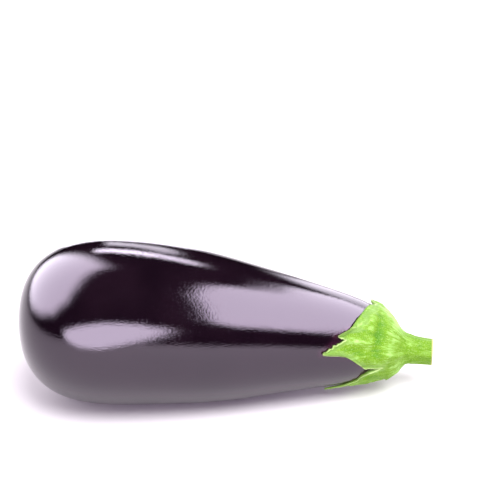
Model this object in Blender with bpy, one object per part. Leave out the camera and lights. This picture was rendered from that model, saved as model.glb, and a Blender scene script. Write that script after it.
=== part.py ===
"""A globe eggplant lying on its side: the fruit, its green calyx and its cut stem.

Metres, +Z up. The fruit lies along X with its blossom end towards -X and its stem towards +X.
The shapes are first made around a straight axis, where a station is a distance from the
blossom end, and are then bent to the axis line that the fruit takes as it lies.
Run with: blender --background --python part.py
"""

import math
from bisect import bisect_left

import bmesh
import bpy
from mathutils import Vector
from mathutils.geometry import interpolate_bezier

# Driving sizes of the fruit.
FRUIT_LENGTH = 0.2025
BELLY_RADIUS = 0.0440
BELLY_AT = 0.052
SKIN_SEGMENTS = 56
PROFILE_STEPS = 9

# The fruit's outline: each knot's station and radius, with the handles before and after it.
PROFILE_KNOTS = (
    ((0.0, 0.0), None, (0.0, 0.0305)),
    ((BELLY_AT, BELLY_RADIUS), (0.0175, BELLY_RADIUS), (0.076, BELLY_RADIUS)),
    ((0.118, 0.0370), (0.102, 0.0404), (0.136, 0.0331)),
    ((0.168, 0.0257), (0.154, 0.0289), (0.178, 0.0234)),
    ((0.190, 0.0191), (0.1845, 0.0213), (0.1965, 0.0164)),
    ((FRUIT_LENGTH, 0.0), (FRUIT_LENGTH, 0.0090), None),
)

# The station that stands at the origin.
MIDDLE = 0.1110

# The axis line as the fruit lies: station, height above the table and slope.
AXIS_LINE = (
    (0.000, 0.0452, 0.0),
    (0.084, 0.0417, -0.115),
    (0.182, 0.0299, -0.14),
    (0.206, 0.0243, -0.22),
    (0.224, 0.0220, -0.08),
)
STEM_SWAY = 0.0025
STEM_SWAY_FROM = 0.186

# The calyx, a fleshy cap on the crown of the fruit, flaring out of the stem's foot.
# A reach is a distance down the skin from the middle of the crown.
SKIN_GAP = 0.0005
CALYX_THICKNESS = 0.0020
FOOT_AT = 0.2085
FOOT_RADIUS = 0.0083
FOOT_REACH = 0.0060
FLARE_REACH = 0.0205
FLARE_HANDLES = (0.0045, 0.0088)
POLE_REACH = 0.0014
RIB_HEIGHT = 0.0007
TIP_THINNING = 0.45
TIP_WIDTH = math.radians(1.6)
LOBE_COLUMNS = 8
FOOT_ROWS = 2
CAP_ROWS = 7
LOBE_ROWS = 9

# The notches between the lobes, in turn: angle in degrees and reach.
# The angle runs round the axis, with 0 towards -Y and 90 upwards.
NOTCHES = ((145, 0.0225), (100, 0.0245), (25, 0.0450), (-14, 0.0235), (-98, 0.0235), (-152, 0.0245))

# The lobes' tips, each after the notch of the same number: angle, reach and how far the tip stands off the skin.
TIPS = (
    (114, 0.0268, 0.0004),
    (28, 0.0495, 0.0016),
    (8, 0.0572, 0.0006),
    (-64, 0.0540, 0.0010),
    (-124, 0.0440, 0.0008),
    (-186, 0.0490, 0.0012),
)

# The two edges of each lobe, from notch to tip: the middle handles, as shares in angle and in reach.
STRAIGHT = ((0.33, 0.33), (0.67, 0.67))
SWEPT = ((0.45, 0.10), (0.85, 0.45))
STEPPED = ((-0.10, 0.45), (1.05, 0.40))
EDGES = (
    (SWEPT, STRAIGHT),
    (SWEPT, STRAIGHT),
    (STRAIGHT, STEPPED),
    (STRAIGHT, SWEPT),
    (SWEPT, SWEPT),
    (SWEPT, SWEPT),
)

# The stem: station and radius along it, with five soft ribs and a square cut.
STEM_LINE = ((0.0, FOOT_RADIUS), (0.25, 0.0077), (0.55, 0.0073), (0.85, 0.0071), (1.0, 0.0072))
STEM_END = 0.2210
STEM_RIB = 0.0003
STEM_RIBS = 5
STEM_SEGMENTS = 40
CUT_LEAN = math.radians(9)
CUT_BEVEL = 0.0006
JOINT_GAP = 0.0003


def bezier(points, share):
    """The point that share of the way along the Bezier curve of those points."""
    while len(points) > 1:
        points = [a.lerp(b, share) for a, b in zip(points, points[1:])]
    return points[0]


def smooth(share):
    """An eased 0 to 1."""
    share = min(1.0, max(0.0, share))
    return share * share * (3.0 - 2.0 * share)


def outline():
    """The fruit's outline from the blossom end to the crown, as points of station and radius."""
    points = []
    for (start, _, after), (end, before, _) in zip(PROFILE_KNOTS, PROFILE_KNOTS[1:]):
        ends = [Vector(p).to_3d() for p in (start, after, before, end)]
        points += [p.to_2d() for p in interpolate_bezier(*ends, PROFILE_STEPS)[:-1]]
    return points + [Vector(PROFILE_KNOTS[-1][0])]


class Meridian:
    """The fruit's outline read from the crown: the skin's point and normal at a reach."""

    def __init__(self):
        self.points = outline()[::-1]
        self.reach = [0.0]
        for before, after in zip(self.points, self.points[1:]):
            self.reach.append(self.reach[-1] + (after - before).length)

    def normal(self, i):
        """The outward normal at one of the outline's points."""
        if i == 0:
            return Vector((1.0, 0.0))
        along = self.points[min(i + 1, len(self.points) - 1)] - self.points[i - 1]
        return Vector((along.y, -along.x)).normalized()

    def at(self, reach):
        """The skin's point and outward normal at a reach."""
        i = min(max(bisect_left(self.reach, reach), 1), len(self.points) - 1)
        share = (reach - self.reach[i - 1]) / (self.reach[i] - self.reach[i - 1])
        point = self.points[i - 1].lerp(self.points[i], share)
        return point, self.normal(i - 1).lerp(self.normal(i), share).normalized()


def axis_height(station):
    """The height of the axis line at a station: a cubic through the line's heights and slopes."""
    spans = list(zip(AXIS_LINE, AXIS_LINE[1:]))
    (s0, h0, m0), (s1, h1, m1) = next((p for p in spans if station <= p[1][0]), spans[-1])
    span = s1 - s0
    u = (station - s0) / span
    held = h0 * (1 + 2 * u) * (1 - u) ** 2 + h1 * u * u * (3 - 2 * u)
    return held + span * (m0 * u * (1 - u) ** 2 - m1 * u * u * (1 - u))


def bend(point):
    """A point made around the straight axis, moved to where it is on the lying fruit."""
    sway = max(0.0, point.x - STEM_SWAY_FROM) / (STEM_END - STEM_SWAY_FROM)
    return Vector((point.x - MIDDLE, point.y - STEM_SWAY * sway * sway, point.z + axis_height(point.x)))


def around(station, radius, angle):
    """The point at a station, radius and angle round the straight axis."""
    return Vector((station, -radius * math.cos(angle), radius * math.sin(angle)))


def finish(name, color, roughness):
    """A material of one plain colour."""
    made = bpy.data.materials.new(name)
    made.use_nodes = True
    shader = made.node_tree.nodes["Principled BSDF"]
    shader.inputs["Base Color"].default_value = (*color, 1.0)
    shader.inputs["Roughness"].default_value = roughness
    shader.inputs["Metallic"].default_value = 0.0
    return made


def add_object(name, bm, material):
    """The mesh as a named object, shaded smooth."""
    bmesh.ops.recalc_face_normals(bm, faces=bm.faces)
    mesh = bpy.data.meshes.new(name)
    bm.to_mesh(mesh)
    bm.free()
    mesh.shade_smooth()
    mesh.materials.append(material)
    made = bpy.data.objects.new(name, mesh)
    bpy.context.scene.collection.objects.link(made)
    return made


def verts_of(items):
    """The vertices among the results of a mesh operation."""
    return [item for item in items if isinstance(item, bmesh.types.BMVert)]


def edges_of(items):
    """The edges among the results of a mesh operation."""
    return [item for item in items if isinstance(item, bmesh.types.BMEdge)]


def make_fruit():
    """The fruit: its outline spun round the axis, bent, and flattened where it rests on the table."""
    bm = bmesh.new()
    verts = [bm.verts.new((p.x, 0.0, p.y)) for p in outline()]
    edges = [bm.edges.new(pair) for pair in zip(verts, verts[1:])]
    bmesh.ops.spin(
        bm,
        geom=verts + edges,
        cent=(0, 0, 0),
        axis=(1, 0, 0),
        angle=math.tau,
        steps=SKIN_SEGMENTS,
        use_merge=True,
    )
    bmesh.ops.remove_doubles(bm, verts=bm.verts, dist=1e-6)
    for v in bm.verts:
        v.co = bend(v.co)
    everything = bm.verts[:] + bm.edges[:] + bm.faces[:]
    cut = bmesh.ops.bisect_plane(
        bm, geom=everything, dist=1e-6, plane_co=(0, 0, 0), plane_no=(0, 0, -1), clear_outer=True
    )
    bmesh.ops.edgeloop_fill(bm, edges=edges_of(cut["geom_cut"]))
    return add_object("fruit", bm, finish("aubergine_skin", (0.028, 0.008, 0.030), 0.15))


def notch(number):
    """A notch's angle in radians and its reach. The numbers may run on past the last notch."""
    turns, index = divmod(number, len(NOTCHES))
    angle, reach = NOTCHES[index]
    return math.radians(angle - 360 * turns), reach


def lobe_edge(number, side, share):
    """(angle, reach) on a lobe's edge, that share of the way from its notch to its tip."""
    start = Vector(notch(number + side))
    angle, reach, _ = TIPS[number]
    end = Vector((math.radians(angle) + (0.5 - side) * TIP_WIDTH, reach))
    way = end - start
    handles = [start + Vector((way.x * a, way.y * b)) for a, b in EDGES[number][side]]
    return bezier([start, *handles, end], share)


def lobe_row(number, share):
    """The (angle, reach) of each column of a lobe, from edge to edge, at a share of its length."""
    left, right = (lobe_edge(number, side, share) for side in (0, 1))
    return [left.lerp(right, i / LOBE_COLUMNS) for i in range(LOBE_COLUMNS + 1)]


def ring_row(share):
    """The (angle, reach) of each column right round the cap: share 0 is at the stem's foot, 1 at the notches."""
    places = [place for number in range(len(NOTCHES)) for place in lobe_row(number, 0.0)[:-1]]
    return [Vector((angle, FOOT_REACH + (reach - FOOT_REACH) * share)) for angle, reach in places]


def foot_row(share):
    """The (angle, reach) of each column under the stem: share 0 is near the crown's middle, 1 at the stem's foot."""
    return [Vector((angle, POLE_REACH + (FOOT_REACH - POLE_REACH) * share)) for angle, _ in ring_row(0.0)]


def inner_point(meridian, place, form):
    """A point on the calyx's underside, just off the skin."""
    angle, reach, share = place
    point, normal = meridian.at(reach)
    point = point + normal * (SKIN_GAP + form.y * share * share)
    return bend(around(point.x, point.y, angle))


def flare_point(meridian, reach):
    """The station and radius on the flare from the stem's foot down to the cap."""
    skin, normal = meridian.at(FLARE_REACH)
    start = Vector((FOOT_AT, FOOT_RADIUS))
    end = skin + normal * (SKIN_GAP + CALYX_THICKNESS)
    leaving = start - Vector((FLARE_HANDLES[0], 0.0))
    arriving = end + Vector((normal.y, -normal.x)) * FLARE_HANDLES[1]
    return bezier([start, leaving, arriving, end], (reach - FOOT_REACH) / (FLARE_REACH - FOOT_REACH))


def outer_point(meridian, place, form):
    """A point on the calyx's outer face: flat under the stem, then the flare, then the ribbed lobes."""
    angle, reach, share = place
    rib = RIB_HEIGHT * math.sin(math.pi * form.x) ** 4 * smooth((reach - FOOT_REACH) / 0.01) * (1.0 - share)
    if reach < FOOT_REACH:
        point = Vector((FOOT_AT, FOOT_RADIUS * reach / FOOT_REACH))
    elif reach < FLARE_REACH:
        point = flare_point(meridian, reach) + Vector((0.0, rib))
    else:
        skin, normal = meridian.at(reach)
        thickness = CALYX_THICKNESS * (1.0 - TIP_THINNING * share) + rib
        point = skin + normal * (SKIN_GAP + form.y * share * share + thickness)
    return bend(around(point.x, point.y, angle))


def grow(bm, line, closed=False):
    """A line of vertices drawn out by one row of faces. Returns the new line."""
    following = line[1:] + line[:1] if closed else line[1:]
    edges = [bm.edges.get(pair) for pair in zip(line, following)]
    fresh = set(verts_of(bmesh.ops.extrude_edge_only(bm, edges=edges)["geom"]))
    return [next(e.other_vert(v) for e in v.link_edges if e.other_vert(v) in fresh) for v in line]


def make_sheet(bm, place, form):
    """The calyx as a sheet: rings from the crown's middle to the notches, then each lobe to its tip.

    Each vertex is given its place, which is an angle, a reach and a share of its lobe's length,
    and its form, which is a share of its lobe's width and the lift of the lobe's tip.
    """

    def mark(line, row, share=0.0, lift=0.0):
        for i, (v, (angle, reach)) in enumerate(zip(line, row)):
            v[place] = (angle, reach, share)
            v[form] = (i % LOBE_COLUMNS / LOBE_COLUMNS, lift, 0.0)

    ring = bmesh.ops.create_circle(bm, cap_ends=True, segments=len(NOTCHES) * LOBE_COLUMNS, radius=1.0)["verts"]
    mark(ring, foot_row(0.0))
    rows = [foot_row((i + 1) / FOOT_ROWS) for i in range(FOOT_ROWS)]
    rows += [ring_row((i + 1) / CAP_ROWS) for i in range(CAP_ROWS)]
    for row in rows:
        ring = grow(bm, ring, closed=True)
        mark(ring, row)
    for number in range(len(NOTCHES)):
        line = [ring[(number * LOBE_COLUMNS + i) % len(ring)] for i in range(LOBE_COLUMNS + 1)]
        for i in range(LOBE_ROWS):
            share = (i + 1) / LOBE_ROWS
            line = grow(bm, line)
            mark(line, lobe_row(number, share), share, TIPS[number][2])


def make_calyx(meridian):
    """The calyx: a sheet of rings and lobes, doubled and closed round its edge, laid over the crown."""
    bm = bmesh.new()
    place = bm.verts.layers.float_vector.new("place")
    form = bm.verts.layers.float_vector.new("form")
    make_sheet(bm, place, form)
    for v in bm.verts:
        v.co = inner_point(meridian, v[place], v[form])
    doubled = bmesh.ops.extrude_face_region(bm, geom=bm.faces[:], use_keep_orig=True)["geom"]
    for v in verts_of(doubled):
        v.co = outer_point(meridian, v[place], v[form])
    return add_object("calyx", bm, finish("calyx_green", (0.32, 0.60, 0.10), 0.6))


def stem_point(share, radius, angle):
    """A point on the stem's side, at a share of its length."""
    start = FOOT_AT + JOINT_GAP
    ribbed = radius + STEM_RIB * share * math.cos(STEM_RIBS * angle)
    lean = math.tan(CUT_LEAN) * share * ribbed * math.cos(angle)
    return bend(around(start + (STEM_END - start) * share - lean, ribbed, angle))


def make_stem():
    """The stem: a ribbed rod drawn up from the calyx and cut across."""
    bm = bmesh.new()
    ring = bmesh.ops.create_circle(bm, cap_ends=True, segments=STEM_SEGMENTS, radius=1.0)["verts"]
    for share, radius in STEM_LINE:
        if share > 0.0:
            ring = grow(bm, ring, closed=True)
        for i, v in enumerate(ring):
            v.co = stem_point(share, radius, math.tau * i / STEM_SEGMENTS)
    rim = [bm.edges.get(pair) for pair in zip(ring, ring[1:] + ring[:1])]
    bmesh.ops.edgeloop_fill(bm, edges=rim)
    bmesh.ops.bevel(bm, geom=rim, offset=CUT_BEVEL, segments=2, profile=0.5, affect="EDGES", material=-1)
    return add_object("stem", bm, finish("stem_green", (0.42, 0.66, 0.18), 0.6))


def main():
    for old in list(bpy.data.objects):
        bpy.data.objects.remove(old)
    meridian = Meridian()
    make_fruit()
    make_calyx(meridian)
    make_stem()


main()
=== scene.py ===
"""The looks of an eggplant lying on a pale floor: glossy skin, fleshy calyx and cut stem."""

import math
from bisect import bisect_left

import bmesh
import bpy
from mathutils import Matrix, Vector, noise
from mathutils.geometry import interpolate_bezier
from mathutils.kdtree import KDTree


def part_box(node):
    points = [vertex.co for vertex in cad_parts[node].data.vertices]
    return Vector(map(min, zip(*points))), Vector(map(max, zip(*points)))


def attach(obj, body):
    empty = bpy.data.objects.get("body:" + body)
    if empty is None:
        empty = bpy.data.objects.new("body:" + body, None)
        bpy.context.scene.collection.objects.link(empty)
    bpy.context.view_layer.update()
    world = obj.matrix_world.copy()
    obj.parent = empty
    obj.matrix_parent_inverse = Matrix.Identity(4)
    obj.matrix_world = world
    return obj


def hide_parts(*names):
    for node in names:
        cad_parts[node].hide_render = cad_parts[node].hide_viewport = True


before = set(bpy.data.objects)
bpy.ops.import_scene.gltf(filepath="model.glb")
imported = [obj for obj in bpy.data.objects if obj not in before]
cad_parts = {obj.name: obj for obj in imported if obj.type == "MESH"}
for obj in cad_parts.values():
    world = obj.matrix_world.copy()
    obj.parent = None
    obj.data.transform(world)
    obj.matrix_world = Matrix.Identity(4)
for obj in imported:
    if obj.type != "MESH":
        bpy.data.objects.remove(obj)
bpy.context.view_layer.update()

bl_info = {
    "name": "Eggplant",
    "version": (1, 0, 0),
    "blender": (4, 5, 0),
    "location": "3D View > Sidebar > Eggplant",
    "description": "Builds the skin, the calyx with its stem, and a small studio round an eggplant",
    "category": "Add Mesh",
}

FRUIT_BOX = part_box("fruit")
CALYX_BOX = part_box("calyx")
STEM_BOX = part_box("stem")

# A station is a distance along the fruit from its blossom end, and a reach is a distance
# down the skin from the middle of the crown. Angles run round the axis: 0 faces -Y, 90 faces up.
BLOSSOM_X = FRUIT_BOX[0].x
FRUIT_LENGTH = FRUIT_BOX[1].x - BLOSSOM_X
BELLY_RADIUS = (FRUIT_BOX[1].y - FRUIT_BOX[0].y) / 2
FOOT_AT = CALYX_BOX[1].x - BLOSSOM_X

# The cut leans, so its edge stands past its middle by about the overhang.
CUT_LEAN = math.radians(9)
CUT_OVERHANG = 0.0010
STEM_END = STEM_BOX[1].x - BLOSSOM_X - CUT_OVERHANG

# The fruit's outline: each knot's station and radius, with the handles before and after it.
OUTLINE_KNOTS = (
    ((0.0, 0.0), None, (0.0, 0.0305)),
    ((0.052, BELLY_RADIUS), (0.0175, BELLY_RADIUS), (0.076, BELLY_RADIUS)),
    ((0.118, 0.0370), (0.102, 0.0404), (0.136, 0.0331)),
    ((0.168, 0.0257), (0.154, 0.0289), (0.178, 0.0234)),
    ((0.190, 0.0191), (0.1845, 0.0213), (0.1965, 0.0164)),
    ((FRUIT_LENGTH, 0.0), (FRUIT_LENGTH, 0.0090), None),
)
OUTLINE_STEPS = 28
MERIDIAN_STEPS = 24
SKIN_SEGMENTS = 192

# The skin's broad waves: their noise's scale, and how far they take to grow in from each end.
WAVE_SCALE = 22.0
WAVE_FADES = (0.02, 0.03)

# The axis line as the fruit lies: station, height above the floor and slope.
AXIS_LINE = (
    (0.000, 0.0452, 0.0),
    (0.084, 0.0417, -0.115),
    (0.182, 0.0299, -0.14),
    (0.206, 0.0243, -0.22),
    (0.224, 0.0220, -0.08),
)
STEM_SWAY = 0.0025
STEM_SWAY_FROM = 0.186

# The notches between the lobes, in turn: angle in degrees and reach.
NOTCHES = ((145, 0.0225), (100, 0.0245), (25, 0.0450), (-14, 0.0235), (-98, 0.0235), (-152, 0.0245))

# The lobes' tips, each after the notch of the same number: angle, reach and how far the tip
# stands off the skin.
TIPS = (
    (114, 0.0268, 0.0010),
    (28, 0.0495, 0.0032),
    (8, 0.0572, 0.0006),
    (-64, 0.0540, 0.0010),
    (-124, 0.0440, 0.0012),
    (-186, 0.0490, 0.0016),
)

# The two edges of each lobe, as knots on the way from notch to tip: shares in angle and in reach.
STRAIGHT = ((0.0, 0.0), (0.36, 0.32), (0.66, 0.68), (1.0, 1.0))
SWEPT = ((0.0, 0.0), (0.34, 0.16), (0.62, 0.34), (0.86, 0.62), (1.0, 1.0))
HOOKED = ((0.0, 0.0), (0.34, 0.13), (0.54, 0.28), (0.77, 0.46), (0.88, 0.72), (1.0, 1.0))
STEPPED = ((0.0, 0.0), (0.02, 0.15), (0.05, 0.30), (0.36, 0.39), (0.70, 0.48), (0.93, 0.68), (1.0, 1.0))
BELLIED = ((0.0, 0.0), (0.18, 0.28), (0.55, 0.46), (0.86, 0.74), (1.0, 1.0))
EDGES = (
    (SWEPT, STRAIGHT),
    (HOOKED, STRAIGHT),
    (STRAIGHT, STEPPED),
    (BELLIED, SWEPT),
    (SWEPT, SWEPT),
    (SWEPT, SWEPT),
)

# The small waver of those edges: its size, its noise's scale and the skin's radius there.
EDGE_WAVER = 0.0006
EDGE_WAVER_SCALE = 9.0
EDGE_RADIUS = 0.02
RIM_STEPS = 40

# Swells and hollows on the calyx: angle, reach, spread in angle, spread in reach and height.
RELIEF = (
    (60, 0.0238, 12, 0.0024, -0.0011),
    (42, 0.0252, 11, 0.0024, -0.0015),
    (27, 0.0266, 10, 0.0026, -0.0014),
    (12, 0.0284, 8, 0.0026, -0.0010),
    (66, 0.0292, 14, 0.0036, 0.0004),
    (44, 0.0310, 11, 0.0036, 0.0005),
    (30, 0.0345, 6, 0.0040, 0.0004),
    (23, 0.0410, 3.5, 0.0080, 0.0009),
    (22, 0.0325, 4.5, 0.0050, 0.0008),
    (32, 0.0425, 4, 0.0070, -0.0008),
    (62, 0.0335, 8, 0.0030, -0.0009),
    (13, 0.0400, 5, 0.0090, -0.0005),
    (92, 0.0235, 16, 0.0040, 0.0007),
    (86, 0.0158, 28, 0.0048, 0.0024),
    (50, 0.0188, 18, 0.0032, 0.0006),
    (22, 0.0205, 15, 0.0040, 0.0006),
    (4, 0.0228, 11, 0.0044, 0.0005),
    (-8, 0.0268, 8, 0.0040, 0.0008),
    (-20, 0.0310, 6, 0.0060, 0.0009),
    (-45, 0.0150, 25, 0.0042, 0.0010),
    (-34, 0.0330, 6, 0.0080, -0.0005),
    (-50, 0.0250, 10, 0.0050, -0.0008),
    (-66, 0.0330, 8, 0.0120, 0.0010),
    (-96, 0.0170, 14, 0.0050, -0.0011),
    (-124, 0.0280, 9, 0.0090, 0.0011),
    (-152, 0.0170, 12, 0.0050, -0.0010),
    (174, 0.0300, 9, 0.0120, 0.0011),
    (146, 0.0175, 12, 0.0050, -0.0011),
    (118, 0.0200, 12, 0.0060, 0.0008),
)

# The rows and columns of the calyx, and the flare from the stem's foot to the cap.
LOBE_COLUMNS = 24
COLUMNS = len(NOTCHES) * LOBE_COLUMNS
CAP_ROWS = 30
LOBE_ROWS = 36
TIP_WIDTH = math.radians(1.6)
POLE_REACH = 0.0010
FOOT_REACH = 0.0060
FLARE_REACH = 0.0205
FOOT_RADIUS = 0.0083
FLARE_HANDLES = (0.0045, 0.0088)

# The calyx's swells fade in over a reach past the stem's foot. The lip and the groove behind it
# follow the lobes' edges, at places and widths that are shares of the lobe's width.
SWELL_FADE = 0.01
WAVER_SCALES = (130.0, 330.0)
LIP_WIDTH = 0.05
GROOVE_AT = 0.12
GROOVE_WIDTH = 0.06
GROOVE_DEPTH = 0.8

# How much thinner the calyx is at its tips, along its edges and on the underside.
TIP_THINNING = 0.45
EDGE_THINNING = 0.35
EDGE_THINNING_WIDTH = 0.16
UNDERSIDE_THINNING = 0.5

# The stem: share of its length and radius.
STEM_LINE = ((0.0, FOOT_RADIUS), (0.25, 0.0077), (0.55, 0.0073), (0.85, 0.0071), (1.0, 0.0072))

# How far up the stem each of its rows is: 2 is the cut's middle, 1 the cut's rim and 0 the foot.
CUT_UPS = (1.93, 1.7, 1.45, 1.25, 1.12, 1.05, 1.0, 0.97)
STEM_ROWS = 14
STEM_UPS = (*CUT_UPS, *(0.9 - 0.9 * i / STEM_ROWS for i in range(STEM_ROWS)), 0.0)
STEM_FLOW = 0.02
FLOW_UNIT = 0.01

# What the finish reads: how far the edge colours reach, on the skin and on the calyx, the height of
# relief between the lightest green, painted light on the swells, and the deepest, painted shade in the
# hollows, how far up the stem the cut's colours start, and how much of the edge colour the calyx's
# inner face has.
CROWN_SPAN = 0.0035
EDGE_SPAN = 0.004
RELIEF_SPAN = 0.0042
CUT_FROM = 0.94
INNER_EDGE = 0.5


def bezier(points, share):
    """The point that share of the way along the Bezier curve of those points."""
    while len(points) > 1:
        points = [a.lerp(b, share) for a, b in zip(points, points[1:])]
    return points[0]


def smooth(share):
    """An eased 0 to 1."""
    share = min(1.0, max(0.0, share))
    return share * share * (3.0 - 2.0 * share)


def bell(offset, width):
    """1 where the offset is 0, falling away over the width."""
    return math.exp(-((offset / width) ** 2))


def along_line(line, share):
    """The value at a share of a line of (share, value) pairs."""
    (a, low), (b, high) = next(p for p in zip(line, line[1:]) if share <= p[1][0])
    return low + (high - low) * (share - a) / (b - a)


def through(knots, share):
    """The point that share of the way along a smooth curve through the knots."""
    knots = [Vector(knot) for knot in knots]
    spot = share * (len(knots) - 1)
    i = min(int(spot), len(knots) - 2)
    before, after = knots[max(i - 1, 0)], knots[min(i + 2, len(knots) - 1)]
    start, end = knots[i], knots[i + 1]
    leaving, arriving = start + (end - before) / 6.0, end - (after - start) / 6.0
    return bezier([start, leaving, arriving, end], spot - i)


def outline(steps):
    """The fruit's outline from the blossom end to the crown, as points of station and radius."""
    points = []
    for (start, _, after), (end, before, _) in zip(OUTLINE_KNOTS, OUTLINE_KNOTS[1:]):
        ends = [Vector(p).to_3d() for p in (start, after, before, end)]
        points += [p.to_2d() for p in interpolate_bezier(*ends, steps)[:-1]]
    return points + [Vector(OUTLINE_KNOTS[-1][0])]


class Meridian:
    """The fruit's outline read from the crown: the skin's point and normal at a reach."""

    def __init__(self, steps):
        self.points = outline(steps)[::-1]
        self.reach = [0.0]
        for before, after in zip(self.points, self.points[1:]):
            self.reach.append(self.reach[-1] + (after - before).length)

    def normal(self, i):
        """The outward normal at one of the outline's points."""
        if i == 0:
            return Vector((1.0, 0.0))
        along = self.points[min(i + 1, len(self.points) - 1)] - self.points[i - 1]
        return Vector((along.y, -along.x)).normalized()

    def at(self, reach):
        """The skin's point and outward normal at a reach."""
        i = min(max(bisect_left(self.reach, reach), 1), len(self.points) - 1)
        share = (reach - self.reach[i - 1]) / (self.reach[i] - self.reach[i - 1])
        point = self.points[i - 1].lerp(self.points[i], share)
        return point, self.normal(i - 1).lerp(self.normal(i), share).normalized()


MERIDIAN = Meridian(MERIDIAN_STEPS)


def axis_height(station):
    """The height of the axis line at a station: a cubic through the line's heights and slopes."""
    spans = list(zip(AXIS_LINE, AXIS_LINE[1:]))
    (s0, h0, m0), (s1, h1, m1) = next((p for p in spans if station <= p[1][0]), spans[-1])
    span = s1 - s0
    u = (station - s0) / span
    held = h0 * (1 + 2 * u) * (1 - u) ** 2 + h1 * u * u * (3 - 2 * u)
    return held + span * (m0 * u * (1 - u) ** 2 - m1 * u * u * (1 - u))


def bend(point):
    """A point made round the straight axis, moved to where it is on the lying fruit."""
    sway = max(0.0, point.x - STEM_SWAY_FROM) / (STEM_END - STEM_SWAY_FROM)
    return Vector((point.x + BLOSSOM_X, point.y - STEM_SWAY * sway * sway, point.z + axis_height(point.x)))


def around(station, radius, angle):
    """The point at a station, radius and angle round the straight axis."""
    return Vector((station, -radius * math.cos(angle), radius * math.sin(angle)))


def on_skin(angle, reach, height):
    """The point on the lying fruit at an angle and reach, that height off the skin."""
    point, normal = MERIDIAN.at(reach)
    point = point + normal * height
    return bend(around(point.x, point.y, angle))


class Shade:
    """A socket in a material's node tree. Arithmetic on it adds Math nodes."""

    def __init__(self, tree, socket=None):
        self.tree = tree
        self.socket = socket

    def node(self, kind, inputs=None, output=0, stops=None, **settings):
        """A new node with its settings, then its sockets' values or links. Returns one of its outputs."""
        made = self.tree.nodes.new("ShaderNode" + kind)
        for name, value in settings.items():
            setattr(made, name, value)
        for i, (place, color) in enumerate(stops or ()):
            elements = made.color_ramp.elements
            element = elements[i] if i < 2 else elements.new(place)
            element.position = place
            element.color = (*color, 1.0)
        for key, value in (inputs or {}).items():
            if isinstance(value, Shade):
                self.tree.links.new(value.socket, made.inputs[key])
            else:
                made.inputs[key].default_value = value
        return Shade(self.tree, made.outputs[output])

    def math(self, operation, other):
        """A Math node on this socket and another value."""
        return self.node("Math", {0: self, 1: other}, operation=operation)

    def __add__(self, other):
        return self.math("ADD", other)

    __radd__ = __add__

    def __sub__(self, other):
        return self.math("SUBTRACT", other)

    def __rsub__(self, other):
        return (self * -1.0) + other

    def __mul__(self, other):
        return self.math("MULTIPLY", other)

    __rmul__ = __mul__

    def ramp(self, low, high):
        """This value's way from low to high, as a smooth 0 to 1."""
        ends = {"Value": self, "From Min": low, "From Max": high}
        return self.node("MapRange", ends, interpolation_type="SMOOTHSTEP")

    def mix(self, start, end):
        """The colour from start to end by this value."""
        colors = [c if isinstance(c, Shade) else (*c, 1.0) for c in (start, end)]
        return self.node("Mix", {0: self, 6: colors[0], 7: colors[1]}, output=2, data_type="RGBA")

    def noise(self, scale, detail=2.0, roughness=0.5):
        """Noise over this vector."""
        inputs = {"Vector": self, "Scale": scale, "Detail": detail, "Roughness": roughness}
        return self.node("TexNoise", inputs)

    def stretched(self, x, y, z):
        """This vector with its axes scaled."""
        return self.node("VectorMath", {0: self, 1: (x, y, z)}, operation="MULTIPLY")

    def strands(self, across, along, detail=2.0):
        """Noise drawn out along this flow vector: its scales across and along."""
        return self.stretched(across, across, along).noise(1.0, detail)

    def attribute(self, name, output="Fac"):
        """A piece's own attribute."""
        return self.node("Attribute", output=output, attribute_name=name)


def new_material(name, **values):
    """A material and its constant values. Returns it, a start for its nodes and its shader."""
    made = bpy.data.materials.new(name)
    made.use_nodes = True
    shader = made.node_tree.nodes["Principled BSDF"]
    for key, value in values.items():
        shader.inputs[key.replace("_", " ").title().replace("Ior", "IOR")].default_value = value
    return made, Shade(made.node_tree), shader


def feed(shader, name, shade):
    """Links a shade into one of the shader's sockets."""
    shade.tree.links.new(shade.socket, shader.inputs[name])


def new_mesh(name, bm, material):
    """The finished mesh with its material."""
    mesh = bpy.data.meshes.new(name)
    bm.to_mesh(mesh)
    bm.free()
    mesh.materials.append(material)
    return mesh


def add_object(name, data):
    """A new object in the scene."""
    made = bpy.data.objects.new(name, data)
    bpy.context.scene.collection.objects.link(made)
    return made


def add_piece(name, bm, material, slot, *nodes):
    """The mesh as a finished piece that rides on the root and stands for those CAD nodes."""
    bmesh.ops.recalc_face_normals(bm, faces=bm.faces)
    mesh = new_mesh(name, bm, material)
    mesh.shade_smooth()
    piece = add_object(name, mesh)
    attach(piece, "root")
    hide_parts(*nodes)
    return piece


def verts_of(items):
    """The vertices among the results of a mesh operation."""
    return [item for item in items if isinstance(item, bmesh.types.BMVert)]


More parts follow.
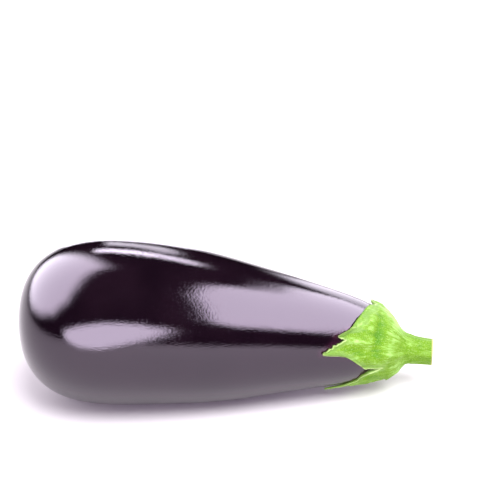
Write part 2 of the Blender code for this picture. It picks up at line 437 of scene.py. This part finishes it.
class EggplantSizes(bpy.types.PropertyGroup):
    """Sizes of the natural detail on the eggplant."""

    skin_wave: bpy.props.FloatProperty(
        name="Skin wave",
        description="Height of the broad waves in the skin",
        default=0.00035,
        unit="LENGTH",
    )
    skin_grain: bpy.props.FloatProperty(
        name="Skin grain",
        description="Height of the fine grain in the skin",
        default=0.00007,
        unit="LENGTH",
    )
    scar_radius: bpy.props.FloatProperty(
        name="Scar radius",
        description="Radius of the corky scar at the blossom end",
        default=0.0032,
        unit="LENGTH",
    )
    calyx_thickness: bpy.props.FloatProperty(
        name="Calyx thickness",
        description="Thickness of the calyx on the skin",
        default=0.0020,
        unit="LENGTH",
    )
    calyx_waver: bpy.props.FloatProperty(
        name="Calyx waver",
        description="Height of the calyx's small unevenness",
        default=0.0004,
        unit="LENGTH",
    )
    calyx_lip: bpy.props.FloatProperty(
        name="Calyx lip",
        description="Height of the curled lip along the lobes' edges",
        default=0.0006,
        unit="LENGTH",
    )
    skin_gap: bpy.props.FloatProperty(
        name="Skin gap", description="Gap between the calyx and the skin", default=0.0001, unit="LENGTH"
    )
    rib_height: bpy.props.FloatProperty(
        name="Rib height", description="Height of the rib down each lobe", default=0.0009, unit="LENGTH"
    )
    stem_rib: bpy.props.FloatProperty(
        name="Stem rib", description="Height of the ribs along the stem", default=0.00035, unit="LENGTH"
    )


class EggplantColors(bpy.types.PropertyGroup):
    """Colours of the eggplant's skin and flesh."""

    skin: bpy.props.FloatVectorProperty(
        name="Skin",
        description="The skin's darkest purple",
        subtype="COLOR",
        default=(0.0045, 0.0017, 0.0042),
    )
    skin_light: bpy.props.FloatVectorProperty(
        name="Skin light",
        description="The skin's lighter purple",
        subtype="COLOR",
        default=(0.0075, 0.003, 0.0065),
    )
    skin_crown: bpy.props.FloatVectorProperty(
        name="Skin at the crown",
        description="The maroon along the calyx",
        subtype="COLOR",
        default=(0.035, 0.008, 0.022),
    )
    calyx: bpy.props.FloatVectorProperty(
        name="Calyx", description="The calyx's middle green", subtype="COLOR", default=(0.132, 0.272, 0.003)
    )
    # A pale green: the ring in the stem's cut, and on the calyx both its lighter fibres and painted light
    # on the swells.
    calyx_pale_and_lit: bpy.props.FloatVectorProperty(
        name="Calyx light",
        description="The calyx's light green",
        subtype="COLOR",
        default=(0.315, 0.54, 0.14),
    )
    # Painted shade: this darker green goes into the calyx's hollows and along the crease inside its edge.
    calyx_shade: bpy.props.FloatVectorProperty(
        name="Calyx deep",
        description="The green in the calyx's hollows",
        subtype="COLOR",
        default=(0.060, 0.190, 0.002),
    )
    down: bpy.props.FloatVectorProperty(
        name="Down", description="The pale down on the calyx", subtype="COLOR", default=(0.42, 0.56, 0.22)
    )
    rim: bpy.props.FloatVectorProperty(
        name="Rim",
        description="The cream along the calyx's edge",
        subtype="COLOR",
        default=(0.47, 0.61, 0.25),
    )
    pith: bpy.props.FloatVectorProperty(
        name="Pith", description="The cut end's pith", subtype="COLOR", default=(0.62, 0.68, 0.34)
    )
    bark: bpy.props.FloatVectorProperty(
        name="Cut rim", description="The dried rim of the cut", subtype="COLOR", default=(0.42, 0.38, 0.15)
    )
    scar: bpy.props.FloatVectorProperty(
        name="Scar", description="The corky scar", subtype="COLOR", default=(0.23, 0.13, 0.06)
    )


class EggplantStudio(bpy.types.PropertyGroup):
    """The camera, the floor and the lamps."""

    azimuth: bpy.props.FloatProperty(
        name="Azimuth", description="The camera's way round, in degrees", default=-3.0
    )
    elevation: bpy.props.FloatProperty(
        name="Elevation", description="The camera's height, in degrees", default=25.0
    )
    distance: bpy.props.FloatProperty(
        name="Distance", description="From the camera to the eggplant", default=0.74, unit="LENGTH"
    )
    lens: bpy.props.FloatProperty(
        name="Lens", description="The camera's lens, in millimetres", default=100.0
    )
    floor: bpy.props.FloatVectorProperty(
        name="Floor", description="The floor's colour", subtype="COLOR", default=(0.85, 0.815, 0.85)
    )
    floor_glow: bpy.props.FloatVectorProperty(
        name="Floor glow",
        description="The light the floor gives of itself",
        subtype="COLOR",
        default=(0.040, 0.020, 0.050),
    )
    key_power: bpy.props.FloatProperty(
        name="Key power", description="Power of the key light", default=25.0, unit="POWER"
    )
    lamp_radiance: bpy.props.FloatProperty(
        name="Lamp radiance", description="Brightness of the soft boxes' faces", default=9.1
    )


def make_skin_material(colors, sizes):
    """Waxy skin: almost black purple with a fine grain, maroon along the calyx and cork at the scar."""
    made, tree, shader = new_material(
        "aubergine_skin", specular_ior_level=0.5, ior=1.62, specular_tint=(0.95, 0.84, 0.99, 1.0)
    )
    place = tree.node("TexCoord", output="Object")
    cloud = place.noise(28.0, 3.0).ramp(0.35, 0.7)
    color = cloud.mix(colors.skin, colors.skin_light)
    color = (tree.attribute("crown").ramp(0.0, 1.0) * 0.8).mix(color, colors.skin_crown)
    cork_edge = tree.attribute("scar") + (place.noise(900.0, 3.0) - 0.5) * 0.5
    cork = cork_edge.ramp(0.45, 0.55)
    feed(shader, "Base Color", cork.mix(color, colors.scar))
    fine = place.stretched(0.6, 1.0, 1.0).noise(1450.0, 2.0)
    grain = place.stretched(0.7, 1.0, 1.0).noise(430.0, 2.0)
    feed(shader, "Roughness", 0.055 + grain.ramp(0.3, 0.8) * 0.035 + cork * 0.5)
    height = fine * 0.8 + grain * 0.2 + cork * place.noise(2500.0) * 3.0
    bump = tree.node("Bump", {"Height": height, "Strength": 1.0, "Distance": sizes.skin_grain})
    feed(shader, "Normal", bump)
    return made


def calyx_green(tree, colors, fibre, thread, patch, down):
    """The calyx's green: painted light on the swells, painted shade in the hollows and along a crease
    inside the edge, downy and cream towards the edge.
    """
    edge = tree.attribute("edge")
    # Painted light on the swells and painted shade in the hollows, mixed with the fibres', threads' and
    # patches' own tone.
    depth = tree.attribute("relief_shade") + (fibre - 0.5) * 1.5 + (patch - 0.5) * 0.55 + (thread - 0.5) * 0.7
    color = depth.ramp(0.0, 0.5).mix(colors.calyx_pale_and_lit, colors.calyx)
    color = depth.ramp(0.40, 0.95).mix(color, colors.calyx_shade)
    color = (down.ramp(0.50, 0.72) * 0.42).mix(color, colors.down)
    pale = (edge + (fibre - 0.5) * 1.6 + (patch - 0.5)).ramp(0.1, 1.0) * 0.36
    color = pale.mix(color, colors.down)
    # Painted shade: a darker green along the groove just inside the lobes' edges, reaching onto the lower
    # part of the edge walls.
    crease_shade = (edge + (patch - 0.5) * 0.5).ramp(0.50, 0.62) * (0.86 - edge).ramp(0.0, 0.08)
    color = (crease_shade * 0.35).mix(color, colors.calyx_shade)
    rim = (edge + (thread - 0.5) * 0.25).ramp(0.86, 0.97)
    return (rim * 0.9).mix(color, colors.rim)


def make_calyx_material(colors):
    """Downy green flesh: fibres from the stem to the tips, a cream edge and a pale cut."""
    made, tree, shader = new_material("calyx_flesh", specular_ior_level=0.15)
    place = tree.node("TexCoord", output="Object")
    flow = tree.attribute("flow", "Vector")
    fibre = flow.strands(9.0, 0.8, 3.0) * 0.55 + flow.strands(24.0, 1.8) * 0.45
    thread = flow.strands(52.0, 5.0)
    patch = place.noise(160.0, 3.0)
    down = place.noise(1600.0, 2.0, 0.8)
    cut = tree.attribute("cut")
    rings = ((0.0, colors.bark), (0.18, colors.pith), (0.42, colors.calyx_pale_and_lit), (0.58, colors.pith))
    face = tree.node("ValToRGB", {"Fac": cut + (thread - 0.5) * 0.1}, stops=rings)
    green = calyx_green(tree, colors, fibre, thread, patch, down)
    feed(shader, "Base Color", cut.ramp(0.0, 0.04).mix(green, face))
    feed(shader, "Roughness", 0.48 + patch * 0.2)
    height = fibre * 0.8 + thread * 0.5 + down * 0.5
    feed(shader, "Normal", tree.node("Bump", {"Height": height, "Strength": 1.0, "Distance": 0.0004}))
    return made


def notch(number):
    """A notch's angle in radians and its reach. The numbers may run on past the last notch."""
    turns, index = divmod(number, len(NOTCHES))
    angle, reach = NOTCHES[index]
    return math.radians(angle - 360 * turns), reach


def lobe_edge(number, side, share):
    """(angle, reach) on a lobe's edge, that share of the way from its notch to its tip."""
    start = Vector(notch(number + side))
    angle, reach, _ = TIPS[number]
    end = Vector((math.radians(angle) + (0.5 - side) * TIP_WIDTH, reach))
    way = end - start
    along = through(EDGES[number][side], share)
    spot = Vector((share * EDGE_WAVER_SCALE, number * 3.7, side * 5.3))
    waver = EDGE_WAVER * math.sin(math.pi * share) * noise.noise(spot)
    return Vector((start.x + way.x * along.x + waver / EDGE_RADIUS, start.y + way.y * along.y + waver))


def lobe_row(number, share):
    """The (angle, reach) of each column of a lobe, from edge to edge, at a share of its length."""
    left, right = (lobe_edge(number, side, share) for side in (0, 1))
    return [left.lerp(right, i / LOBE_COLUMNS) for i in range(LOBE_COLUMNS + 1)]


def ring_row(share):
    """The (angle, reach) of each column round the cap: share 0 is at the stem's foot, 1 at the notches."""
    places = [place for number in range(len(NOTCHES)) for place in lobe_row(number, 0.0)[:-1]]
    return [Vector((angle, FOOT_REACH + (reach - FOOT_REACH) * share)) for angle, reach in places]


def foot_row(share):
    """The (angle, reach) of each column under the stem: share 0 is at the crown's middle, 1 at the foot."""
    reach = POLE_REACH + (FOOT_REACH - POLE_REACH) * share
    return [Vector((angle, reach)) for angle, _ in ring_row(0.0)]


def flare_point(reach, thickness):
    """The station and radius on the flare from the stem's foot down to the cap."""
    skin, normal = MERIDIAN.at(FLARE_REACH)
    start = Vector((FOOT_AT, FOOT_RADIUS))
    end = skin + normal * thickness
    leaving = start - Vector((FLARE_HANDLES[0], 0.0))
    arriving = end + Vector((normal.y, -normal.x)) * FLARE_HANDLES[1]
    return bezier([start, leaving, arriving, end], (reach - FOOT_REACH) / (FLARE_REACH - FOOT_REACH))


def stem_point(share, depth, angle, sizes):
    """The station and radius on the stem.

    The share is 0 at its foot and 1 at the cut, and the depth runs from the cut's rim to its middle.
    """
    ribs = smooth(share * 2.0) * math.cos(5 * angle) + 0.4 * math.sin(11 * angle)
    radius = (along_line(STEM_LINE, share) + sizes.stem_rib * ribs) * (1.0 - depth)
    lean = math.tan(CUT_LEAN) * share * radius * math.cos(angle)
    return FOOT_AT + (STEM_END - FOOT_AT) * share - lean, radius


def relief(angle, reach):
    """The height of the calyx's swells and hollows at a place."""
    height = 0.0
    for at_angle, at_reach, wide, long, swell in RELIEF:
        off = (math.degrees(angle) - at_angle + 180.0) % 360.0 - 180.0
        height += swell * bell(off, wide) * bell(reach - at_reach, long)
    return height


def swell_height(angle, reach, across, share, sizes):
    """The height of the calyx's rib, relief and small unevenness at a place."""
    rib = sizes.rib_height * math.sin(math.pi * across) ** 3 * (1.0 - share)
    spot = around(reach * 2.0, 0.03, angle)
    broad, small = (noise.noise(spot * scale) for scale in WAVER_SCALES)
    waver = sizes.calyx_waver * (broad + 0.5 * small)
    return (rib + relief(angle, reach) + waver) * smooth((reach - FOOT_REACH) / SWELL_FADE)


def lobe_height(angle, grown, across, lift, sizes):
    """How high the outer face of the cap and the lobes stands off the skin, without its swell."""
    share = max(0.0, grown)
    side = min(across, 1.0 - across)
    free = smooth(1.0 + grown * 6.0)
    lip = free * (bell(side, LIP_WIDTH) - GROOVE_DEPTH * bell(side - GROOVE_AT, GROOVE_WIDTH))
    thickness = sizes.calyx_thickness * (1.0 - TIP_THINNING * share)
    thickness *= 1.0 - EDGE_THINNING * free * (1.0 - smooth(side / EDGE_THINNING_WIDTH))
    thickness *= 1.0 - UNDERSIDE_THINNING * max(0.0, -math.sin(angle))
    return sizes.skin_gap + lift * share ** 3 + thickness + sizes.calyx_lip * lip


def inner_point(place, form, sizes):
    """A point on the calyx's inner face, just off the skin.

    A place is an angle, a reach and a share of its lobe's length, which is below 0 on the cap.
    A form is a share of the lobe's width, the lift of its tip and how far up the stem it is.
    """
    angle, reach, grown = place
    return on_skin(angle, reach, sizes.skin_gap + form.y * max(0.0, grown) ** 3)


def outer_point(place, form, sizes):
    """A point on the calyx's outer face or on the stem."""
    angle, reach, grown = place
    across, lift, up = form
    if up > 0.0:
        station, radius = stem_point(min(up, 1.0), max(0.0, up - 1.0), angle, sizes)
        return bend(around(station, radius, angle))
    swell = swell_height(angle, reach, across, max(0.0, grown), sizes)
    if reach < FLARE_REACH:
        point = flare_point(reach, sizes.skin_gap + sizes.calyx_thickness)
        return bend(around(point.x, point.y + swell, angle))
    return on_skin(angle, reach, lobe_height(angle, grown, across, lift, sizes) + swell)


def calyx_rim():
    """Points on the skin along the edges of the calyx's lobes."""
    edges = [(number, side) for number in range(len(NOTCHES)) for side in (0, 1)]
    shares = [i / RIM_STEPS for i in range(RIM_STEPS + 1)]
    return [on_skin(*lobe_edge(*edge, share), 0.0) for edge in edges for share in shares]


def nearness(bm, points, span, name):
    """Gives each vertex a value, 1 at the nearest of the points and 0 from a span away."""
    tree = KDTree(len(points))
    for i, point in enumerate(points):
        tree.insert(point, i)
    tree.balance()
    layer = bm.verts.layers.float[name]
    for v in bm.verts:
        v[layer] = max(0.0, 1.0 - tree.find(v.co)[2] / span)


def grow(bm, line, closed=False):
    """A line of vertices drawn out by one row of faces. Returns the new line."""
    following = line[1:] + line[:1] if closed else line[1:]
    edges = [bm.edges.get(pair) for pair in zip(line, following)]
    fresh = set(verts_of(bmesh.ops.extrude_edge_only(bm, edges=edges)["geom"]))
    return [next(e.other_vert(v) for e in v.link_edges if e.other_vert(v) in fresh) for v in line]


def calyx_sheet(bm, place, form, flow):
    """The calyx as a sheet: from the cut's middle down the stem and over the cap, then each lobe."""

    def mark(line, row, share=0.0, lift=0.0, up=0.0, first=0):
        for i, (v, (angle, reach)) in enumerate(zip(line, row)):
            v[place] = (angle, reach, share)
            v[form] = (i % LOBE_COLUMNS / LOBE_COLUMNS, lift, up)
            spin = math.tau * (first + i) / COLUMNS
            down = reach if up == 0.0 else FOOT_REACH - STEM_FLOW * up
            v[flow] = (math.cos(spin), math.sin(spin), down / FLOW_UNIT)

    ring = bmesh.ops.create_circle(bm, cap_ends=True, segments=COLUMNS, radius=1.0)["verts"]
    mark(ring, foot_row(0.0), up=STEM_UPS[0])
    for i, up in enumerate(STEM_UPS[1:], 1):
        ring = grow(bm, ring, closed=True)
        mark(ring, foot_row(i / (len(STEM_UPS) - 1)), up=up)
    for i in range(CAP_ROWS):
        ring = grow(bm, ring, closed=True)
        mark(ring, ring_row((i + 1) / CAP_ROWS), (i + 1) / CAP_ROWS - 1.0)
    for number in range(len(NOTCHES)):
        first = number * LOBE_COLUMNS
        line = [ring[(first + i) % COLUMNS] for i in range(LOBE_COLUMNS + 1)]
        for i in range(LOBE_ROWS):
            share = (i + 1) / LOBE_ROWS
            line = grow(bm, line)
            mark(line, lobe_row(number, share), share, TIPS[number][2], first=first)


def mark_calyx(bm, place, form, outer):
    """Gives each vertex what the finish reads: how near the edge, how sunk for the painted shade and light,
    and how far in the cut.
    """
    rim = [v.co.copy() for e in bm.edges if len(outer.intersection(e.verts)) == 1 for v in e.verts]
    nearness(bm, rim, EDGE_SPAN, "edge")
    relief_shade, cut, edge = (bm.verts.layers.float[name] for name in ("relief_shade", "cut", "edge"))
    for v in bm.verts:
        angle, reach, _ = v[place]
        up = v[form].z
        # Painted shade and light: higher in the hollows for a darker green, lower on the swells for a
        # lighter one.
        sunk = 0.5 - relief(angle, reach) / RELIEF_SPAN if up == 0.0 else 0.5
        v[relief_shade] = min(1.0, max(0.0, sunk))
        v[cut] = max(0.0, up - CUT_FROM) if v in outer else 0.0
        if v not in outer:
            v[edge] *= INNER_EDGE


class EGGPLANT_OT_fruit(bpy.types.Operator):
    """Makes the fruit with its glossy skin"""

    bl_idname = "eggplant.fruit"
    bl_label = "Fruit"

    def execute(self, context):
        sizes, colors = context.scene.eggplant_sizes, context.scene.eggplant_colors
        bm = bmesh.new()
        for name in ("crown", "scar"):
            bm.verts.layers.float.new(name)
        verts = [bm.verts.new((p.x, 0.0, p.y)) for p in outline(OUTLINE_STEPS)]
        edges = [bm.edges.new(pair) for pair in zip(verts, verts[1:])]
        bmesh.ops.spin(
            bm,
            geom=verts + edges,
            cent=(0, 0, 0),
            axis=(1, 0, 0),
            angle=math.tau,
            steps=SKIN_SEGMENTS,
            use_merge=True,
        )
        bmesh.ops.remove_doubles(bm, verts=bm.verts, dist=1e-6)
        for v in bm.verts:
            fade = smooth(v.co.x / WAVE_FADES[0]) * smooth((FRUIT_LENGTH - v.co.x) / WAVE_FADES[1])
            wave = sizes.skin_wave * noise.noise(v.co * WAVE_SCALE) * fade
            v.co = bend(v.co + Vector((0.0, v.co.y, v.co.z)).normalized() * wave)
        everything = bm.verts[:] + bm.edges[:] + bm.faces[:]
        cut = bmesh.ops.bisect_plane(
            bm, geom=everything, dist=1e-6, plane_co=(0, 0, 0), plane_no=(0, 0, -1), clear_outer=True
        )
        rest_spot = [e for e in cut["geom_cut"] if isinstance(e, bmesh.types.BMEdge)]
        bmesh.ops.edgeloop_fill(bm, edges=rest_spot)
        nearness(bm, calyx_rim(), CROWN_SPAN, "crown")
        nearness(bm, [bend(Vector())], 2.0 * sizes.scar_radius, "scar")
        add_piece("fruit_skin", bm, make_skin_material(colors, sizes), "skin", "fruit")
        return {"FINISHED"}


class EGGPLANT_OT_calyx(bpy.types.Operator):
    """Makes the calyx and the stem it grows from"""

    bl_idname = "eggplant.calyx"
    bl_label = "Calyx and stem"

    def execute(self, context):
        sizes, colors = context.scene.eggplant_sizes, context.scene.eggplant_colors
        bm = bmesh.new()
        for name in ("place", "form", "flow"):
            bm.verts.layers.float_vector.new(name)
        for name in ("relief_shade", "cut", "edge"):
            bm.verts.layers.float.new(name)
        place, form, flow = (bm.verts.layers.float_vector[name] for name in ("place", "form", "flow"))
        calyx_sheet(bm, place, form, flow)
        for v in bm.verts:
            v.co = inner_point(v[place], v[form], sizes)
        doubled = bmesh.ops.extrude_face_region(bm, geom=bm.faces[:], use_keep_orig=True)["geom"]
        for v in verts_of(doubled):
            v.co = outer_point(v[place], v[form], sizes)
        mark_calyx(bm, place, form, set(verts_of(doubled)))
        add_piece("calyx_and_stem", bm, make_calyx_material(colors), "calyx", "calyx", "stem")
        return {"FINISHED"}


# The soft boxes' faces: azimuth and elevation in degrees, distance and target in metres, brightness
# against the others, how soft the border is, and the corners, across and up in metres.
SOFT_BOXES = {
    "left_box": (-105, 42, 0.60, (-0.08, 0.0, 0.06), 0.97, 0.40, (
        (0.68, -0.12), (0.58, 0.25), (0.30, 0.42), (0.0, 0.53), (-0.26, 0.70), (-0.47, 0.42), (-0.68, 0.05),
        (-0.82, -0.20), (-0.76, -0.40), (-0.56, -0.54), (-0.23, -0.57), (0.04, -0.55), (0.40, -0.39))),
    "right_box": (88, 52, 0.60, (0.03, 0.0, 0.06), 1.0, 0.06, (
        (-0.76, 0.02), (-0.50, 0.12), (-0.20, 0.22), (0.0, 0.22), (0.09, 0.17), (0.17, 0.09), (0.33, 0.07),
        (0.55, 0.04), (0.80, -0.16), (0.70, -0.22), (-0.34, -0.19), (-0.57, -0.22), (-0.74, -0.10))),
    "front_box": (-10, 9, 0.34, (-0.05, 0.0, 0.05), 1.05, 0.20, (
        (-0.22, 0.02), (-0.11, 0.07), (0.02, 0.11), (0.10, 0.11), (0.185, 0.075), (0.15, 0.0),
        (0.10, -0.055), (0.065, -0.085), (-0.02, -0.13), (-0.11, -0.115), (-0.20, -0.06))),
    "far_card": (172, 3, 0.35, (0.03, 0.0, 0.05), 0.45, 0.3, (
        (0.04, -0.05), (0.06, 0.03), (0.12, 0.04), (0.26, 0.01), (0.26, -0.05))),
    "low_card": (172, 3, 0.35, (0.03, 0.0, 0.05), 0.45, 0.3, (
        (-0.02, -0.05), (-0.02, 0.06), (-0.08, 0.15), (-0.17, 0.20), (-0.34, 0.22), (-0.34, -0.05))),
    "back_card": (172, 8, 0.60, (-0.04, 0.0, 0.05), 0.40, 0.3, (
        (0.15, 0.01), (0.10, 0.05), (0.06, 0.07), (0.03, 0.08), (0.0, 0.09), (-0.04, 0.15), (-0.08, 0.29),
        (-0.06, 0.33), (-0.01, 0.30), (0.04, 0.23), (0.08, 0.22), (0.15, 0.20))),
    "back_strip": (172, 35, 1.0, (-0.04, 0.0, 0.08), 1.7, 0.12, (
        (0.29, 0.02), (0.19, 0.0), (0.10, 0.01), (0.03, 0.02), (-0.10, 0.07), (-0.20, 0.10), (-0.24, 0.13),
        (-0.26, 0.19), (-0.23, 0.21), (-0.14, 0.18), (-0.01, 0.18), (0.08, 0.16), (0.17, 0.13),
        (0.28, 0.12))),
}


BOX_TINT = (1.0, 0.94, 1.06)

# The key light: azimuth and elevation in degrees, then distance and width.
KEY_WAY = (28, 60)
KEY_DISTANCE = 1.3
KEY_WIDTH = 1.0

# The light from all round.
SKY = (1.0, 0.97, 1.0)
SKY_STRENGTH = 1.15

# The camera aims at a height over the middle, moved right and up by shares of the view's width.
SENSOR_WIDTH = 36.0
AIM_HEIGHT = 0.044
AIM_RIGHT = 0.042
AIM_UP = 0.138

FLOOR_HALF_WIDTH = 6.0
FLOOR_DROP = 0.0002


def direction(azimuth, elevation):
    """The way out at an azimuth and elevation in degrees: azimuth 0 is towards -Y, 90 towards +X."""
    a, e = math.radians(azimuth), math.radians(elevation)
    return Vector((math.sin(a) * math.cos(e), -math.cos(a) * math.cos(e), math.sin(e)))


def facing(target, out, distance):
    """The placing of a thing that stands that way out from a target and faces it."""
    return Matrix.LocRotScale(target + out * distance, out.to_track_quat("Z", "Y"), None)


def add_soft_box(name, azimuth, elevation, distance, target, brightness, border, corners, radiance):
    """A glowing face for the skin to mirror, dimmer along its border."""
    material, tree, shader = new_material(
        name,
        base_color=(0.0, 0.0, 0.0, 1.0),
        specular_ior_level=0.0,
        emission_strength=radiance * brightness,
    )
    glow = tree.attribute("middle").ramp(0.0, border)
    feed(shader, "Emission Color", glow.mix((0.0, 0.0, 0.0), BOX_TINT))
    bm = bmesh.new()
    middle = bm.verts.layers.float.new("middle")
    face = bm.faces.new([bm.verts.new((x, y, 0.0)) for x, y in corners])
    for v in bmesh.ops.poke(bm, faces=[face])["verts"]:
        v[middle] = 1.0
    made = add_object(name, new_mesh(name, bm, material))
    made.matrix_world = facing(Vector(target), direction(azimuth, elevation), distance)
    made.visible_camera = False
    made.visible_diffuse = False
    made.visible_shadow = False


def add_key_light(studio):
    """A broad lamp from the upper right that shapes the dull surfaces. The skin doesn't mirror it."""
    lamp = bpy.data.lights.new("key_light", "AREA")
    lamp.shape = "DISK"
    lamp.size = KEY_WIDTH
    lamp.energy = studio.key_power
    made = add_object("key_light", lamp)
    made.matrix_world = facing(Vector(), direction(*KEY_WAY), KEY_DISTANCE)
    made.visible_camera = False
    made.visible_glossy = False


def add_floor(studio):
    """A wide plain floor."""
    material, _, _ = new_material(
        "pale_floor",
        base_color=(*studio.floor, 1.0),
        roughness=0.9,
        specular_ior_level=0.0,
        emission_color=(*studio.floor_glow, 1.0),
        emission_strength=1.0,
    )
    bm = bmesh.new()
    bmesh.ops.create_grid(bm, x_segments=1, y_segments=1, size=FLOOR_HALF_WIDTH)
    floor = add_object("floor", new_mesh("floor", bm, material))
    floor.location.z = -FLOOR_DROP


def add_camera(studio):
    """The camera, looking down at the fruit a little from the front."""
    camera = bpy.data.cameras.new("camera")
    camera.lens = studio.lens
    camera.sensor_width = SENSOR_WIDTH
    camera.clip_start = 0.05
    back = direction(studio.azimuth, studio.elevation)
    right = direction(studio.azimuth + 90, 0)
    up = back.cross(right)
    view = studio.distance * SENSOR_WIDTH / studio.lens
    target = Vector((0.0, 0.0, AIM_HEIGHT)) + right * view * AIM_RIGHT + up * view * AIM_UP
    made = add_object("camera", camera)
    made.matrix_world = facing(target, back, studio.distance)
    bpy.context.scene.camera = made


def add_world(scene):
    """Even light from all round that the skin doesn't mirror."""
    world = bpy.data.worlds.new("studio")
    world.use_nodes = True
    background = world.node_tree.nodes["Background"]
    background.inputs["Color"].default_value = (*SKY, 1.0)
    background.inputs["Strength"].default_value = SKY_STRENGTH
    scene.world = world
    world.cycles_visibility.glossy = False
    scene.view_settings.view_transform = "Standard"


class EGGPLANT_OT_stage(bpy.types.Operator):
    """Sets up the floor, the lamps and the camera"""

    bl_idname = "eggplant.stage"
    bl_label = "Stage"

    def execute(self, context):
        studio = context.scene.eggplant_studio
        add_floor(studio)
        for name, box in SOFT_BOXES.items():
            add_soft_box(name, *box, studio.lamp_radiance)
        add_key_light(studio)
        add_camera(studio)
        add_world(context.scene)
        return {"FINISHED"}


class EGGPLANT_PT_panel(bpy.types.Panel):
    """Lists the eggplant's operators and settings"""

    bl_label = "Eggplant"
    bl_idname = "EGGPLANT_PT_panel"
    bl_space_type = "VIEW_3D"
    bl_region_type = "UI"
    bl_category = "Eggplant"

    def draw(self, context):
        for name, group in GROUPS.items():
            box = self.layout.box()
            for setting in group.__annotations__:
                box.prop(getattr(context.scene, name), setting)
        for operator in OPERATORS:
            self.layout.operator(operator.bl_idname)


OPERATORS = (EGGPLANT_OT_fruit, EGGPLANT_OT_calyx, EGGPLANT_OT_stage)
GROUPS = {
    "eggplant_sizes": EggplantSizes,
    "eggplant_colors": EggplantColors,
    "eggplant_studio": EggplantStudio,
}


def register():
    for name, group in GROUPS.items():
        bpy.utils.register_class(group)
        setattr(bpy.types.Scene, name, bpy.props.PointerProperty(type=group))
    for made in (*OPERATORS, EGGPLANT_PT_panel):
        bpy.utils.register_class(made)


def unregister():
    for made in (EGGPLANT_PT_panel, *OPERATORS):
        bpy.utils.unregister_class(made)
    for name, group in GROUPS.items():
        delattr(bpy.types.Scene, name)
        bpy.utils.unregister_class(group)


def main():
    register()
    bpy.ops.eggplant.fruit()
    bpy.ops.eggplant.calyx()
    bpy.ops.eggplant.stage()


if __name__ == "__main__":
    main()
